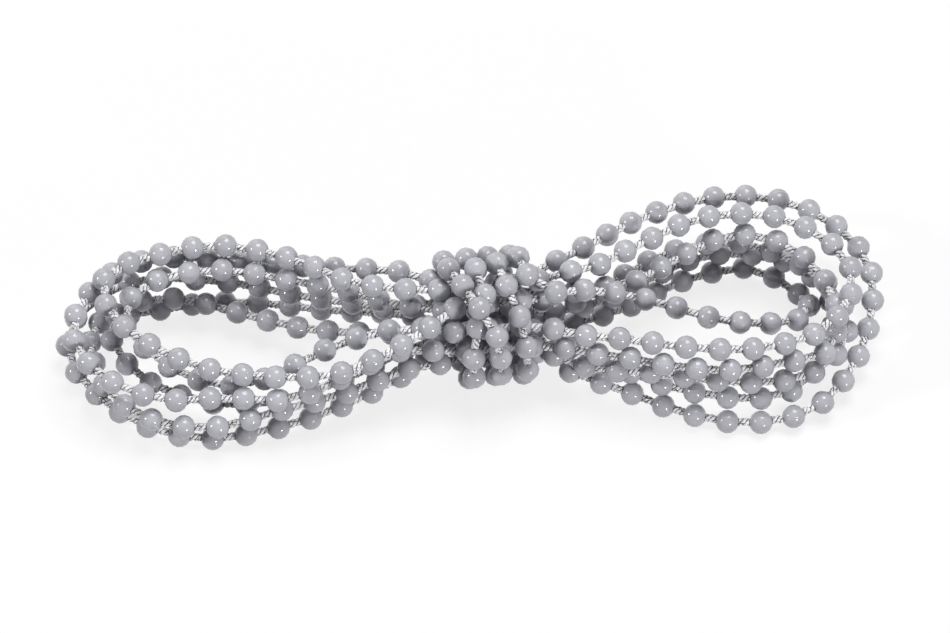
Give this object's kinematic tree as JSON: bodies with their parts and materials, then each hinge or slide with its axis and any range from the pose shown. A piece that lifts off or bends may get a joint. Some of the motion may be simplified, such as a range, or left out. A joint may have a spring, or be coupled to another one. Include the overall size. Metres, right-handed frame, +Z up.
{
  "type": "roller blind chain",
  "caption": "Hank of roller blind ball chain: grey plastic balls moulded on a white cord, wound in long loops and bound round the waist with its own end.",
  "frame": {"origin": "on the ground, under the middle of the hank's bounding box", "axes": "+X along the hank from the left loops to the right loops, +Y to the back of the hank, +Z up"},
  "size_m": [0.1495, 0.0555, 0.0259],
  "materials": {
    "ball_plastic": "semi-gloss moulded grey plastic",
    "cord_yarn": "white twisted polyester cord"
  },
  "bodies": {
    "root": {"ball_chain": "ball_plastic"}
  },
  "joints": []
}
